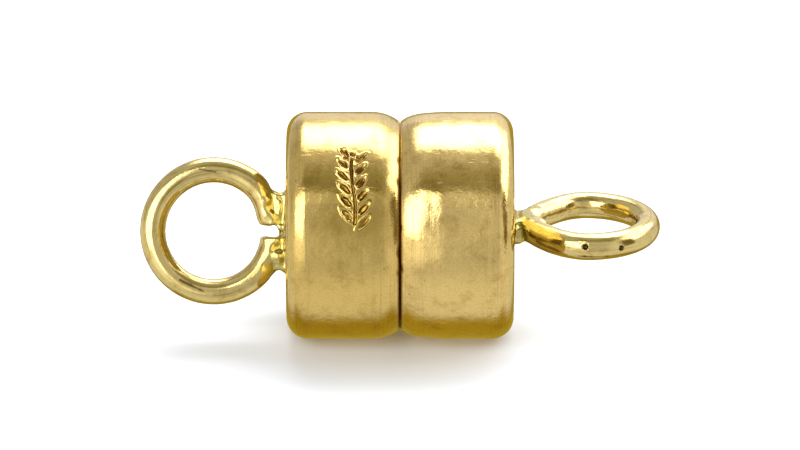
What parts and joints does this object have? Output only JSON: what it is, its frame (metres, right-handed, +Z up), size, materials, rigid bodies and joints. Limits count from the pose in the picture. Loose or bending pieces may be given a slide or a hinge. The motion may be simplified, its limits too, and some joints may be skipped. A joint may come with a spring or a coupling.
{
  "type": "magnetic clasp",
  "caption": "Round magnetic clasp for a necklace or bracelet: gold cups that hold disc magnets face to face, pull apart and swivel, with a soldered wire ring at each end.",
  "frame": {"origin": "on the table, under the middle of the seam between the two halves", "axes": "+X along the clasp's axis from the socket to the plug, +Z up, and the side seen in the picture faces -Y"},
  "size_m": [0.0126, 0.0054, 0.0055],
  "materials": {
    "gold": "yellow gold, satin polished on the cups and bright on the wire rings",
    "nickel": "bright nickel plating on sintered magnets"
  },
  "bodies": {
    "socket_half": {"socket_shell": "gold", "socket_magnet": "nickel"},
    "plug_core": {"plug_magnet": "nickel"},
    "plug_half": {"plug_shell": "gold"}
  },
  "joints": [
    {"name": "pull_apart", "type": "slide", "parent": "socket_half", "child": "plug_core", "axis": [1, 0, 0], "range_m": [0, 0.006], "stiffness_N_per_m": 2, "springref_m": -0.01},
    {"name": "swivel", "type": "hinge", "parent": "plug_core", "child": "plug_half", "pos_m": [0.0014, 0, 0.00275], "axis": [1, 0, 0], "continuous": true}
  ]
}
